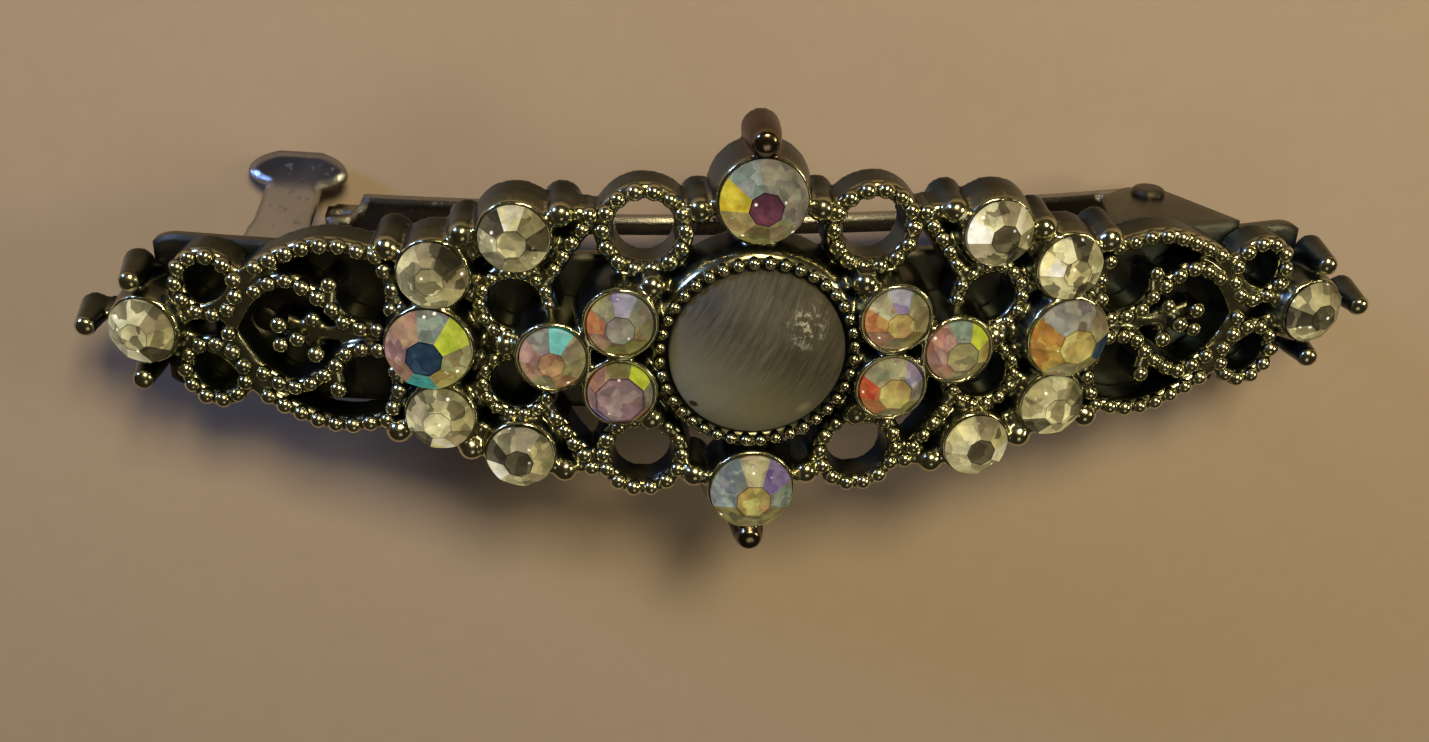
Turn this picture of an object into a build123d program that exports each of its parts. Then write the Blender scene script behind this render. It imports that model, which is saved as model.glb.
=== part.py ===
from build123d import *
from math import atan2, cos, degrees, radians, sin, sqrt
import os

# Rhinestone hair clip: a cast openwork top on a sprung steel French clip.
# X runs along the clip (hinge at +X, catch at -X), Y across it, Z up out of the decorated face.
# The origin is under the middle of the closed clip, on the plane that it rests on.
# Millimetres throughout. "along" is arc length from mid-length, "across" is Y, and "height" is
# measured outward from the reference arch, which passes through the girdle of the cabochon.

os.makedirs("parts", exist_ok=True)

# ---- Arch shared by the casting, the base plate and the arm ----
arch_radius = 170.0
crest_height = 17.667

# ---- Casting layers (heights from the reference arch) ----
casting_back = -3.4
strand_top = -1.5
strand_width = 0.95
bead_radius = 0.62
spur_radius = 0.6
spur_top = -1.2
seat_clearance = 0.02

# ---- Stones ----
clear_radius = 2.3
cluster_radius = 2.19
large_radius = 2.87
table_ratio = 0.46
facet_count = 8
girdle_band = 0.12
crown_ratio = 0.5
pavilion_ratio = 0.85

# along, across, girdle radius, girdle height, cup wall, rim above the girdle
end_along = 41.7
side_along = 22.0
outer_pair = (21.5, 5.27)
inner_pair = (16.1, 8.05)
cluster_pair = (9.2, 2.54)
cluster_outer_along = 13.65
pole_across = 10.8
cluster_girdle = 0.7
clear_girdle = -0.2

# ---- Cabochon ----
cabochon_radius = 5.95
cabochon_dome = 2.9
cabochon_foot = 0.9
bezel_wall = 0.4
bezel_top = 0.3
collar_outer = 7.6
collar_top = -0.5

# ---- Granules and posts ----
granule_radius = 1.0
granule_top = -0.3
end_post_radius = 0.9
end_post_top = 0.5
end_post_reach = 3.6
end_post_side = 3.6
pole_post_across = 14.7
pole_post_radius = 1.2
pole_post_top = 0.35

# ---- French clip hardware ----
plate_top = casting_back
plate_thickness = 0.8
plate_half_length = 41.8
plate_half_width = 5.75
plate_corner = 3.0
end_hole_radius = 1.0
end_hole_along = 39.0
sheet = 0.6

pin_x = 30.5
pin_drop = 12.7
pin_radius = 0.8
pin_clearance = 0.05
pin_head_radius = 1.2
pin_head = 0.5

arm_top = -12.3
arm_thickness = 0.8
arm_half_width = 5.6
arm_wide = 5.85
arm_waist = 4.9
arm_window_half_width = 3.6
arm_window_half_length = 20.0
arm_tip_x = -29.9
arm_heel_x = 32.4
latch_half_width = 4.95
latch_length = 2.2
latch_height = 2.5

catch_along = -34.2
catch_half_length = 3.3
wing_root = 3.9
wing_gap = 0.12
barb_reach = 0.11
pad_half_width = 3.6

bar_thickness = 0.4
bar_half_width = 2.4
bar_left_drop = 8.0
bar_middle_drop = 6.9
bar_right_drop = 6.73
rivet_radius = 0.9
rivet_head_radius = 1.5
rivet_head = 0.4

plate_bottom = plate_top - plate_thickness
pin_z = crest_height - pin_drop
arch_centre_z = crest_height - arch_radius


def arch_plane(along, across, height):
    """Plane on the arch, x along its tangent and z along its outward normal."""
    angle = along / arch_radius
    reach = arch_radius + height
    return Plane(
        origin=(reach * sin(angle), across, arch_centre_z + reach * cos(angle)),
        x_dir=(cos(angle), 0, -sin(angle)),
        z_dir=(sin(angle), 0, cos(angle)),
    )


def arch_z(x, height):
    """Z of the arch surface at a given height, above plan position x."""
    return arch_centre_z + sqrt((arch_radius + height) ** 2 - x**2)


def plan(along, across):
    """Plan position (x, y) of a point given along the arch."""
    return (arch_radius * sin(along / arch_radius), across)


def arched_slab(low, high, start, end, half_width):
    """Curved slab between two heights and two arc lengths, symmetric about the XZ plane."""
    first = 90 - degrees(start / arch_radius)
    sweep_angle = -degrees((end - start) / arch_radius)
    centre = (0, arch_centre_z)
    with BuildPart() as slab:
        with BuildSketch(Plane.XZ):
            with BuildLine():
                outer = CenterArc(centre, arch_radius + high, first, sweep_angle)
                inner = CenterArc(centre, arch_radius + low, first, sweep_angle)
                Line(outer @ 0, inner @ 0)
                Line(outer @ 1, inner @ 1)
            make_face()
        extrude(amount=half_width, both=True)
    return slab.part


def stone_sites():
    """Every rhinestone: kind, name, along, across, girdle radius, girdle height."""
    sites = []
    for x_sign, side in ((-1, "left"), (1, "right")):
        sites.append(("clear", side + "_end", x_sign * end_along, 0, clear_radius, 0))
        sites.append(("ab", side + "_large", x_sign * side_along, 0, large_radius, 0))
        outer_along = x_sign * cluster_outer_along
        sites.append(("ab", side + "_cluster_outer", outer_along, 0, cluster_radius, cluster_girdle))
        for y_sign, row in ((1, "upper"), (-1, "lower")):
            for pair, label in ((outer_pair, "outer"), (inner_pair, "inner")):
                name = f"{side}_{row}_{label}"
                spot = (x_sign * pair[0], y_sign * pair[1])
                sites.append(("clear", name, *spot, clear_radius, clear_girdle))
            spot = (x_sign * cluster_pair[0], y_sign * cluster_pair[1])
            name = f"{side}_cluster_{row}"
            sites.append(("ab", name, *spot, cluster_radius, cluster_girdle))
    sites.append(("ab", "top", 0, pole_across, large_radius, 0))
    sites.append(("ab", "bottom", 0, -pole_across, large_radius, 0))
    return sites


def granule_sites():
    """Ball-topped granules between the cups, one quadrant mirrored to all four."""
    quadrant = [(24.6, 6.8), (19.6, 7.95), (13.1, 9.5), (6.9, 4.9), (4.0, 9.9)]
    sites = [(side * 17.0, 0) for side in (-1, 1)]
    for along, across in quadrant:
        sites += [(i * along, j * across) for i in (-1, 1) for j in (-1, 1)]
    return sites


def spur_sites():
    """Smaller balls inside the end scrolls."""
    quadrant = [(29.2, 3.8), (32.3, 0.75), (30.1, 0.95)]
    sites = []
    for along, across in quadrant:
        sites += [(i * along, j * across) for i in (-1, 1) for j in (-1, 1)]
    return sites


cup_wall = {clear_radius: 0.6, cluster_radius: 0.7, large_radius: 0.52}
rim_rise = 0.12

# ---- Rhinestones: brilliant-cut crown and table over a pointed pavilion ----
for kind, name, along, across, radius, girdle in stone_sites():
    crown = crown_ratio * radius
    pavilion = pavilion_ratio * radius
    flat = 0.985 * radius
    crown_taper = degrees(atan2(flat - table_ratio * radius, crown))
    pavilion_taper = degrees(atan2(flat - 0.12 * radius, pavilion))
    seat = arch_plane(along, across, girdle)
    with BuildPart() as rhinestone:
        with BuildSketch(seat):
            RegularPolygon(flat, facet_count, major_radius=False)
        extrude(amount=crown, taper=crown_taper)
        with BuildSketch(seat.offset(-girdle_band)):
            RegularPolygon(flat, facet_count, major_radius=False)
        extrude(amount=girdle_band)
        below = Plane(seat.offset(-girdle_band).origin, x_dir=seat.x_dir, z_dir=-seat.z_dir)
        with BuildSketch(below):
            RegularPolygon(flat, facet_count, major_radius=False)
        extrude(amount=pavilion, taper=pavilion_taper)
        with BuildSketch(seat.offset(-pavilion - 1)):
            Circle(radius)
        extrude(amount=crown + pavilion + 2, mode=Mode.INTERSECT)
    rhinestone.part.label = f"rhinestone_{kind}_{name}"
    export_step(rhinestone.part, f"parts/rhinestone_{kind}_{name}.step")

# ---- Cabochon: low dome on a short straight foot ----
dome_radius = (cabochon_radius**2 + cabochon_dome**2) / (2 * cabochon_dome)
with BuildPart() as cabochon:
    with BuildSketch(Plane.XZ.offset(0)):
        with BuildLine():
            top = (0, crest_height + cabochon_dome)
            rim = (cabochon_radius, crest_height)
            half_angle = atan2(cabochon_radius, dome_radius - cabochon_dome)
            middle = (
                dome_radius * sin(half_angle / 2),
                crest_height + cabochon_dome - dome_radius * (1 - cos(half_angle / 2)),
            )
            ThreePointArc(top, middle, rim)
            foot = (cabochon_radius, crest_height - cabochon_foot)
            Polyline(rim, foot, (0, crest_height - cabochon_foot), top)
        make_face()
    revolve(axis=Axis.Z)
cabochon.part.label = "cabochon"
export_step(cabochon.part, "parts/cabochon.step")


# ---- Filigree casting ----
strand_runs = [
    # outline of the end leaf, from the outer granule round to the end stone
    [
        (24.6, 6.3), (26.8, 6.5), (29.4, 6.65), (32.0, 5.8),
        (34.4, 4.2), (35.6, 2.5), (37.2, 1.2), (39.2, 0.9),
    ],
    # scroll inside the leaf, from the large stone round to the middle line
    [
        (25.0, 1.0), (27.2, 0.9), (28.5, 2.0), (29.8, 3.2),
        (31.8, 4.0), (33.8, 3.2), (35.2, 1.5), (35.9, -0.2),
    ],
    # from the small ring up to the loop beside the top stone
    [(13.6, 4.4), (13.1, 6.0), (12.3, 7.5), (10.6, 9.0)],
    # beside the large stone and its outer clear stone
    [(25.0, 6.0), (24.6, 4.6), (24.7, 3.0), (25.4, 1.5)],
]
# centre and radius of each beaded ring in the same quarter
loop_rings = [((7.65, 8.35), 2.7), ((16.3, 2.95), 2.35), ((37.3, 3.2), 2.15)]
# straight stems on the middle line, from the cups out
stems = [[(14.0, 0), (18.5, 0)], [(25.0, 0), (32.6, 0)]]


on_foot = (Align.CENTER, Align.CENTER, Align.MIN)


def quarters(along, across, turn=0):
    """Plan locations of one place in the +X +Y quarter, mirrored to all four."""
    x, y = plan(along, across)
    return [Location((i * x, j * y, 0), (0, 0, i * j * turn)) for i in (-1, 1) for j in (-1, 1)]


def at_plan(sites):
    """Plan locations of (along, across) places."""
    return Locations(*[Location((*plan(*site), 0)) for site in sites])


def on_arch(sites, height):
    """Locations on the arch, upright to it, at (along, across) places."""
    return Locations(*[Location(arch_plane(*site, height)) for site in sites])


def stones_of(radius, girdle):
    """Plan places of the stones of one size and one girdle height."""
    return [(stone[2], stone[3]) for stone in stone_sites() if stone[4:] == (radius, girdle)]


def raised_discs(sites, radius, top):
    """Round columns from the casting's back up to an arched top."""
    with BuildPart() as columns:
        with BuildSketch():
            with at_plan(sites):
                Circle(radius)
        extrude(amount=crest_height + 4)
        add(arched_slab(casting_back, top, -50, 50, 20), mode=Mode.INTERSECT)
    return columns.part


stone_classes = sorted({stone[4:] for stone in stone_sites()})
end_posts = []
for x_sign in (-1, 1):
    end_posts.append((x_sign * (end_along + end_post_reach), 0))
    end_posts += [(x_sign * (end_along + 0.3), y_sign * end_post_side) for y_sign in (-1, 1)]
columns = [
    raised_discs([(0, 0)], collar_outer, collar_top),
    raised_discs([(0, 0)], cabochon_radius + bezel_wall, bezel_top),
    raised_discs(granule_sites(), granule_radius, granule_top),
    raised_discs(spur_sites(), spur_radius, spur_top),
    raised_discs(end_posts, end_post_radius, end_post_top),
    raised_discs([(0, -pole_post_across), (0, pole_post_across)], pole_post_radius, pole_post_top),
]
for radius, girdle in stone_classes:
    columns.append(raised_discs(stones_of(radius, girdle), radius + cup_wall[radius], girdle + rim_rise))

with BuildPart() as filigree_casting:
    with BuildSketch():
        for centre, radius in loop_rings:
            with BuildSketch(mode=Mode.PRIVATE) as ring:
                Circle(radius + strand_width / 2)
                Circle(radius - strand_width / 2, mode=Mode.SUBTRACT)
            with Locations(*quarters(*centre)):
                add(ring.sketch)
        for run in strand_runs + stems:
            for along, across in run:
                with Locations(*quarters(along, across)):
                    Circle(bead_radius)
            for (along, across), (next_along, next_across) in zip(run, run[1:]):
                x, y = plan(along, across)
                next_x, next_y = plan(next_along, next_across)
                heading = degrees(atan2(next_y - y, next_x - x))
                length = sqrt((next_x - x) ** 2 + (next_y - y) ** 2)
                with Locations(*quarters((along + next_along) / 2, (across + next_across) / 2, heading)):
                    Rectangle(length, strand_width)
    extrude(amount=crest_height + 4)
    add(arched_slab(casting_back, strand_top, -50, 50, 20), mode=Mode.INTERSECT)
    for column in columns:
        add(column)
    # stone seats: a cone wider than the pavilion, opening into a straight rim
    for radius, girdle in stone_classes:
        shoulder = girdle - girdle_band - 0.07 * radius
        foot = girdle - girdle_band - pavilion_ratio * radius - 0.1
        with on_arch(stones_of(radius, girdle), foot):
            Cone(0.2 * radius, radius + seat_clearance, shoulder - foot, align=on_foot, mode=Mode.SUBTRACT)
        with on_arch(stones_of(radius, girdle), shoulder):
            Cylinder(radius + seat_clearance, 2, align=on_foot, mode=Mode.SUBTRACT)
    with on_arch([(0, 0)], -cabochon_foot):
        Cylinder(cabochon_radius + seat_clearance, 2, align=on_foot, mode=Mode.SUBTRACT)
filigree_casting.part.label = "filigree_casting"
export_step(filigree_casting.part, "parts/filigree_casting.step")

# ---- Base plate: arched strip with the hinge ears turned down from its sides ----
with BuildPart() as base_plate:
    add(arched_slab(plate_bottom, plate_top, -plate_half_length, plate_half_length, 8))
    with BuildSketch():
        RectangleRounded(2 * plate_half_length, 2 * plate_half_width, plate_corner)
    extrude(amount=crest_height, mode=Mode.INTERSECT)
    for y_sign in (-1, 1):
        with BuildSketch(Plane.XZ.offset(-y_sign * plate_half_width)) as ear:
            with BuildLine():
                Polyline(
                    (25.6, arch_z(25.6, plate_top)), (26.9, pin_z + 0.4), (29.3, pin_z - 1.5),
                    (31.7, pin_z - 1.3), (35.4, arch_z(35.4, plate_top)), close=True,
                )
            make_face()
            fillet(ear.vertices().group_by(Axis.Y)[0], 1.2)
            fillet(ear.vertices().sort_by(Axis.X)[1:2], 0.8)
            with Locations((pin_x, pin_z)):
                Circle(pin_radius, mode=Mode.SUBTRACT)
        extrude(amount=-y_sign * sheet)
    for x_sign in (-1, 1):
        with Locations(Location(arch_plane(x_sign * end_hole_along, 0, plate_top))):
            Hole(end_hole_radius, depth=2)
    with Locations(Location(arch_plane(catch_along, 0, plate_top))):
        Hole(rivet_radius, depth=2)
base_plate.part.label = "base_plate"
export_step(base_plate.part, "parts/base_plate.step")

# ---- Hinge pin: peened over outside both ears ----
ear_outside = plate_half_width + sheet
with BuildPart() as hinge_pin:
    with BuildSketch(Plane.XZ.offset(-ear_outside)):
        with Locations((pin_x, pin_z)):
            Circle(pin_radius)
    extrude(amount=2 * ear_outside)
    for y_sign in (-1, 1):
        with BuildSketch(Plane.XZ.offset(-y_sign * ear_outside)):
            with Locations((pin_x, pin_z)):
                Circle(pin_head_radius)
        extrude(amount=-y_sign * pin_head)
    fillet(hinge_pin.faces().sort_by(Axis.Y)[0].edges(), 0.3)
    fillet(hinge_pin.faces().sort_by(Axis.Y)[-1].edges(), 0.3)
hinge_pin.part.label = "hinge_pin"
export_step(hinge_pin.part, "parts/hinge_pin.step")

# ---- Clasp arm: arched strip with a window, hinge lugs at +X and latch flanges at -X ----
arm_bottom = arm_top - arm_thickness
lug_outside = plate_half_width - 0.2
with BuildPart() as clasp_arm:
    add(arched_slab(arm_bottom, arm_top, -40, 40, 8))
    with BuildSketch():
        with BuildLine():
            Polyline(
                (arm_tip_x, latch_half_width - 0.8), (arm_tip_x + 0.8, latch_half_width),
                (arm_tip_x + latch_length + 0.2, latch_half_width), (arm_tip_x + 2.8, arm_wide),
                (-17, arm_wide), (-10, arm_waist), (21, arm_waist), (22.5, arm_half_width),
                (arm_heel_x - 0.8, arm_half_width), (arm_heel_x, arm_half_width - 0.8),
                (arm_heel_x, 0), (arm_tip_x, 0), close=True,
            )
        make_face()
        mirror(about=Plane.XZ)
        SlotOverall(2 * arm_window_half_length, 2 * arm_window_half_width, mode=Mode.SUBTRACT)
    extrude(amount=crest_height, mode=Mode.INTERSECT)
    for y_sign in (-1, 1):
        with BuildSketch(Plane.XZ.offset(-y_sign * lug_outside)) as lug:
            with BuildLine():
                Polyline(
                    (27.6, arch_z(27.6, arm_top - 0.4)), (28.6, pin_z + 1.5), (32.3, pin_z + 1.5),
                    (arm_heel_x, arch_z(arm_heel_x, arm_top - 0.4)), close=True,
                )
            make_face()
            fillet(lug.vertices().group_by(Axis.Y)[-1], 1.2)
        extrude(amount=y_sign * sheet)
    with BuildSketch(Plane.XZ):
        with Locations((pin_x, pin_z)):
            Circle(pin_radius + pin_clearance)
    extrude(amount=10, both=True, mode=Mode.SUBTRACT)
    for y_sign in (-1, 1):
        flange_base = arch_z(arm_tip_x + 1, arm_top - 0.4)
        with BuildSketch(Plane.XZ.offset(-y_sign * latch_half_width)) as flange:
            with Locations((arm_tip_x + 0.2 + latch_length / 2, flange_base + latch_height / 2)):
                Rectangle(latch_length, latch_height)
            fillet(flange.vertices().group_by(Axis.Y)[-1], 0.6)
            with Locations((arm_tip_x + 0.2 + latch_length / 2, flange_base + 1.4)):
                RectangleRounded(1.2, 0.8, 0.2, mode=Mode.SUBTRACT)
        extrude(amount=y_sign * sheet)
clasp_arm.part.label = "clasp_arm"
export_step(clasp_arm.part, "parts/clasp_arm.step")

# ---- Catch bracket: flat floor under the base plate, carrying the two wings ----
catch = arch_plane(catch_along, 0, plate_bottom - 0.06)
floor_half_width = wing_root - wing_gap - sheet / 2
with BuildPart() as catch_bracket:
    with BuildSketch(catch):
        RectangleRounded(2 * catch_half_length, 2 * floor_half_width, 0.5)
        Circle(rivet_radius, mode=Mode.SUBTRACT)
    extrude(amount=-sheet)
catch_bracket.part.label = "catch_bracket"
export_step(catch_bracket.part, "parts/catch_bracket.step")

with BuildPart() as catch_rivet:
    with BuildSketch(arch_plane(catch_along, 0, plate_top - 0.05)):
        Circle(rivet_radius)
    extrude(amount=-(plate_thickness + sheet + 0.01))
    with BuildSketch(catch.offset(-sheet)):
        Circle(rivet_head_radius)
    extrude(amount=-rivet_head, taper=25)
catch_rivet.part.label = "catch_rivet"
export_step(catch_rivet.part, "parts/catch_rivet.step")

# ---- Squeeze tabs: a wing that flares into a thumb pad, and a straight leaf with the latch barb ----
def squeeze_tab(side):
    """One wing of the catch; side is +1 for +Y and -1 for -Y."""
    across = Plane(origin=catch.origin, x_dir=(0, side, 0), z_dir=side * catch.x_dir)
    face_on = Plane(origin=catch.origin, x_dir=catch.x_dir, z_dir=(0, -1, 0))
    half = sheet / 2
    with BuildPart() as wing:
        with BuildSketch(across):
            with BuildLine():
                middle = [(wing_root, -half), (wing_root, -3.0), (6.2, -7.5), (8.2, -9.6)]
                spine = FilletPolyline(*middle, radius=1.5)
            trace(spine, sheet)
        extrude(amount=pad_half_width + 0.5, both=True)
        with BuildSketch(face_on):
            with BuildLine():
                Polyline(
                    (-catch_half_length, 0), (-2.9, -3.4), (-2.3, -7.2), (-3.4, -7.9), (-3.9, -8.8),
                    (-3.3, -9.5), (-1.8, -9.95), (1.2, -9.95), (2.7, -9.5), (3.3, -8.8),
                    (2.8, -7.9), (1.6, -7.2), (1.6, -4.6), (2.2, -3.6), (2.9, -3.4),
                    (catch_half_length, 0), close=True,
                )
            make_face()
        extrude(amount=12, both=True, mode=Mode.INTERSECT)
    with BuildPart() as leaf:
        with BuildSketch(across):
            with BuildLine():
                inner = wing_root - half
                outer = wing_root + half
                Polyline(
                    (inner, -3.0), (outer, -3.0), (outer, -5.8), (outer + barb_reach, -6.3),
                    (outer, -6.5), (outer, -7.0), (inner, -7.0), close=True,
                )
            make_face()
        extrude(amount=4, both=True)
        with BuildSketch(face_on):
            with Locations((2.7, -5.0)):
                Rectangle(1.2, 8)
        extrude(amount=12, both=True, mode=Mode.INTERSECT)
    with BuildPart() as tab:
        add(wing.part)
        add(leaf.part)
    return tab.part


for side, name in ((1, "squeeze_tab_upper"), (-1, "squeeze_tab_lower")):
    tab = squeeze_tab(side)
    tab.label = name
    export_step(tab, f"parts/{name}.step")

# ---- Tension bar: bowed leaf spring between the base plate and the arm ----
bar_left = (-31.0, crest_height - bar_left_drop)
bar_middle = (-2.0, crest_height - bar_middle_drop)
bar_right = (27.6, crest_height - bar_right_drop)
with BuildPart() as tension_bar:
    with BuildSketch(Plane.XZ):
        with BuildLine():
            ThreePointArc(bar_left, bar_middle, bar_right)
            offset(amount=bar_thickness / 2, side=Side.BOTH, closed=True)
        make_face()
    extrude(amount=bar_half_width, both=True)
tension_bar.part.label = "tension_bar"
export_step(tension_bar.part, "parts/tension_bar.step")
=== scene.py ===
"""Looks for the rhinestone hair clip: antiqued cast top, foil-backed stones, nickel-plated clasp."""
import math
import random

import bmesh
import bpy
from mathutils import Matrix, Vector


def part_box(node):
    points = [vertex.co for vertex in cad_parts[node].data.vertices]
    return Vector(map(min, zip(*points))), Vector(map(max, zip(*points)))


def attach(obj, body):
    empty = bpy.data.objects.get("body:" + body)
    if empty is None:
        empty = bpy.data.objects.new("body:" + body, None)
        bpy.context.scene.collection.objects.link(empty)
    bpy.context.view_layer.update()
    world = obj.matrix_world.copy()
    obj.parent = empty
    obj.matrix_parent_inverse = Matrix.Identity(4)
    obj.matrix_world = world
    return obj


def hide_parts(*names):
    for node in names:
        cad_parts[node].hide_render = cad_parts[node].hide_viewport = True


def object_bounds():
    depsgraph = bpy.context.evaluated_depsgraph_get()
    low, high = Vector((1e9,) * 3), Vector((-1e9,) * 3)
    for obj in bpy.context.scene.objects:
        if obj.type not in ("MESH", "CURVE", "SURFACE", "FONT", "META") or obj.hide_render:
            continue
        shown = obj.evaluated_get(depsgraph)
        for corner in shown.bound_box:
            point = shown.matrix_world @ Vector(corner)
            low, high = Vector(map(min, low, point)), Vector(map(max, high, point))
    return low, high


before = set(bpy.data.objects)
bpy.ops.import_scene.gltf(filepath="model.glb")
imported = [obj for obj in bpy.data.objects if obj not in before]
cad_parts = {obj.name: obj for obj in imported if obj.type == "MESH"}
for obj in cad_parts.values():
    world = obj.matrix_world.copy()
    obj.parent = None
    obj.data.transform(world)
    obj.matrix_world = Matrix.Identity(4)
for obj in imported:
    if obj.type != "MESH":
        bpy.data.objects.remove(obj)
cad_low, cad_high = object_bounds()
random.seed(7)

# Sizes are in mm unless MM turns them into metres; heights are above the reference arch.
MM = 0.001
ARCH_RADIUS = 170.0
CABOCHON_RADIUS = 5.95
CABOCHON_DOME = 2.9
CABOCHON_FOOT = -0.85
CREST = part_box("cabochon")[1].z / MM - CABOCHON_DOME
BACK = -3.4
STRAND_TOP = -1.1
POLE = 14.72
QUARTERS = [(i, j) for i in (-1, 1) for j in (-1, 1)]


# ---------------------------------------------------------------- geometry helpers
def arch_matrix(along, across, height=0.0):
    """Frame on the arch in metres: x along the clip, y across it, z out of the decorated face."""
    angle = along / ARCH_RADIUS
    reach = ARCH_RADIUS + height
    x = Vector((math.cos(angle), 0, -math.sin(angle)))
    z = Vector((math.sin(angle), 0, math.cos(angle)))
    origin = Vector((reach * z.x, across, CREST - ARCH_RADIUS + reach * z.z)) * MM
    matrix = Matrix((x, Vector((0, 1, 0)), z)).transposed().to_4x4()
    matrix.translation = origin
    return matrix


def lathe(bm, matrix, profile, segments=32):
    """Closed solid of revolution about the matrix's z; the profile is (radius, height) from top to foot."""
    rings = []
    for radius, height in profile:
        if radius == 0:
            rings.append([bm.verts.new(matrix @ Vector((0, 0, height * MM)))])
            continue
        ring = []
        for k in range(segments):
            turn = 2 * math.pi * k / segments
            spot = Vector((radius * math.cos(turn), radius * math.sin(turn), height)) * MM
            ring.append(bm.verts.new(matrix @ spot))
        rings.append(ring)
    for upper, lower in zip(rings, rings[1:]):
        for k in range(segments):
            n = (k + 1) % segments
            if len(upper) == 1:
                bm.faces.new((upper[0], lower[k], lower[n]))
            elif len(lower) == 1:
                bm.faces.new((upper[k], lower[0], upper[n]))
            else:
                bm.faces.new((upper[k], lower[k], lower[n], upper[n]))


def smooth_path(points, pitch, closed=False):
    """Points spaced evenly along a Catmull-Rom curve through the given (along, across) points."""
    count = len(points)
    dense = []
    spans = count if closed else count - 1
    for i in range(spans):
        if closed:
            p = [Vector(points[(i + k - 1) % count]) for k in range(4)]
        else:
            p = [Vector(points[min(max(i + k - 1, 0), count - 1)]) for k in range(4)]
        for step in range(12):
            t = step / 12
            dense.append(
                0.5
                * (
                    2 * p[1]
                    + (p[2] - p[0]) * t
                    + (2 * p[0] - 5 * p[1] + 4 * p[2] - p[3]) * t * t
                    + (3 * p[1] - p[0] - 3 * p[2] + p[3]) * t**3
                )
            )
    dense.append(Vector(points[0] if closed else points[-1]))
    lengths = [0.0]
    for a, b in zip(dense, dense[1:]):
        lengths.append(lengths[-1] + (b - a).length)
    steps = max(1, round(lengths[-1] / pitch))
    spaced, i = [], 0
    for k in range(steps if closed else steps + 1):
        goal = lengths[-1] * k / steps
        while i < len(lengths) - 2 and lengths[i + 1] < goal:
            i += 1
        part = (goal - lengths[i]) / max(lengths[i + 1] - lengths[i], 1e-9)
        spaced.append(dense[i].lerp(dense[i + 1], part))
    return spaced


def circle_path(centre, radius, start=0.0, end=360.0, count=12):
    """(along, across) points on an arc; a full circle leaves out the repeated last point."""
    full = abs(end - start) >= 360
    steps = count if full else count - 1
    turns = [math.radians(start + (end - start) * k / steps) for k in range(count)]
    return [(centre[0] + radius * math.cos(t), centre[1] + radius * math.sin(t)) for t in turns]


def wall(bm, path, top, foot, half_top=0.6, half_foot=0.75, closed=False):
    """Cast web that follows a path on the arch, with a rounded crest and drafted sides."""
    section = [(-half_foot, foot), (-half_top, top - 0.4), (-half_top * 0.75, top - 0.1)]
    section.append((-half_top * 0.3, top))
    section += [(-side, height) for side, height in reversed(section)]
    loops, count = [], len(path)
    for i, point in enumerate(path):
        before = path[(i - 1) % count] if closed else path[max(i - 1, 0)]
        after = path[(i + 1) % count] if closed else path[min(i + 1, count - 1)]
        heading = (after - before).normalized()
        normal = Vector((-heading.y, heading.x))
        loop = []
        for side, height in section:
            spot = point + normal * side
            loop.append(bm.verts.new(arch_matrix(spot.x, spot.y, height).translation))
        loops.append(loop)
    size = len(section)
    pairs = list(zip(loops, loops[1:])) + ([(loops[-1], loops[0])] if closed else [])
    for near, far in pairs:
        for k in range(size):
            n = (k + 1) % size
            bm.faces.new((near[k], far[k], far[n], near[n]))
    if not closed:
        bm.faces.new(loops[0])
        bm.faces.new(list(reversed(loops[-1])))


def mesh_object(name, bm, smooth=True):
    bmesh.ops.recalc_face_normals(bm, faces=bm.faces)
    mesh = bpy.data.meshes.new(name)
    bm.to_mesh(mesh)
    bm.free()
    mesh.polygons.foreach_set("use_smooth", [smooth] * len(mesh.polygons))
    piece = bpy.data.objects.new(name, mesh)
    bpy.context.scene.collection.objects.link(piece)
    return piece


def apply_modifiers(piece, smooth=True):
    """The piece's mesh becomes what its modifiers show."""
    evaluated = piece.evaluated_get(bpy.context.evaluated_depsgraph_get())
    mesh = bpy.data.meshes.new_from_object(evaluated)
    piece.modifiers.clear()
    piece.data = mesh
    mesh.polygons.foreach_set("use_smooth", [smooth] * len(mesh.polygons))


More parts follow.
